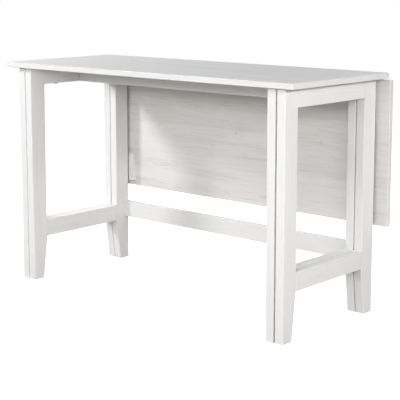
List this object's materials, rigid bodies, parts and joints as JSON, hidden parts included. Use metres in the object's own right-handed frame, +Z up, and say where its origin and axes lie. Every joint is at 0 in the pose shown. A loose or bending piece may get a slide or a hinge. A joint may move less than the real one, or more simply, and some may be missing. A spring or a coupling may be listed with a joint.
{
  "type": "drop-leaf dining table",
  "caption": "White drop-leaf dining table with a rectangular top on end frames, a hinged leaf that hangs at the back, and hinged end gates that swing out to carry the raised leaf.",
  "frame": {"origin": "on the floor, under the middle of the table's box as it stands with the leaf hanging", "axes": "+X along the table's length, +Y towards the hanging leaf, +Z up"},
  "size_m": [1.22, 0.508, 0.75],
  "materials": {
    "top_lacquer": "white lacquer, satin, faint grain",
    "leaf_lacquer": "thin white lacquer, satin, grain shows",
    "frame_lacquer": "white lacquer, satin",
    "hinge_steel": "zinc plated, brushed",
    "fastener_steel": "zinc plated",
    "dowel_wood": "bare beech"
  },
  "bodies": {
    "base": {"frame_dowels": "dowel_wood", "gate_hinge_fixed_screws": "fastener_steel", "leaf_hinge_left_pin": "hinge_steel", "leaf_hinge_left_top_plate": "hinge_steel", "leaf_hinge_middle_pin": "hinge_steel", "leaf_hinge_middle_top_plate": "hinge_steel", "leaf_hinge_right_pin": "hinge_steel", "leaf_hinge_right_top_plate": "hinge_steel", "leaf_hinge_top_screws": "fastener_steel", "left_front_leg": "frame_lacquer", "left_gate_hinge_lower_fixed_plate": "hinge_steel", "left_gate_hinge_lower_pin": "hinge_steel", "left_gate_hinge_upper_fixed_plate": "hinge_steel", "left_gate_hinge_upper_pin": "hinge_steel", "left_rear_leg": "frame_lacquer", "left_stretcher": "frame_lacquer", "left_top_rail": "frame_lacquer", "long_rail_bolts": "fastener_steel", "long_rail_nuts": "fastener_steel", "lower_long_rail": "frame_lacquer", "right_front_leg": "frame_lacquer", "right_gate_hinge_lower_fixed_plate": "hinge_steel", "right_gate_hinge_lower_pin": "hinge_steel", "right_gate_hinge_upper_fixed_plate": "hinge_steel", "right_gate_hinge_upper_pin": "hinge_steel", "right_rear_leg": "frame_lacquer", "right_stretcher": "frame_lacquer", "right_top_rail": "frame_lacquer", "tabletop": "top_lacquer", "top_fixing_bolts": "fastener_steel", "top_inserts": "fastener_steel", "upper_long_rail": "frame_lacquer"},
    "leaf": {"leaf_hinge_leaf_screws": "fastener_steel", "leaf_hinge_left_leaf_plate": "hinge_steel", "leaf_hinge_middle_leaf_plate": "hinge_steel", "leaf_hinge_right_leaf_plate": "hinge_steel", "leaf_panel": "leaf_lacquer", "left_leaf_stop": "frame_lacquer", "right_leaf_stop": "frame_lacquer"},
    "left_gate": {"left_gate_dowels": "dowel_wood", "left_gate_front_leg": "frame_lacquer", "left_gate_hinge_lower_gate_plate": "hinge_steel", "left_gate_hinge_screws": "fastener_steel", "left_gate_hinge_upper_gate_plate": "hinge_steel", "left_gate_rear_leg": "frame_lacquer", "left_gate_stretcher": "frame_lacquer", "left_gate_top_rail": "frame_lacquer"},
    "right_gate": {"right_gate_dowels": "dowel_wood", "right_gate_front_leg": "frame_lacquer", "right_gate_hinge_lower_gate_plate": "hinge_steel", "right_gate_hinge_screws": "fastener_steel", "right_gate_hinge_upper_gate_plate": "hinge_steel", "right_gate_rear_leg": "frame_lacquer", "right_gate_stretcher": "frame_lacquer", "right_gate_top_rail": "frame_lacquer"}
  },
  "joints": [
    {"name": "leaf_hinge", "type": "hinge", "parent": "base", "child": "leaf", "pos_m": [0, 0.231, 0.727], "axis": [1, 0, 0], "range_deg": [0, 90]},
    {"name": "left_gate_swing", "type": "hinge", "parent": "base", "child": "left_gate", "pos_m": [-0.5375, 0.227, 0], "axis": [0, 0, -1], "range_deg": [0, 24]},
    {"name": "right_gate_swing", "type": "hinge", "parent": "base", "child": "right_gate", "pos_m": [0.5375, 0.227, 0], "axis": [0, 0, 1], "range_deg": [-0.3, 23.7]}
  ]
}
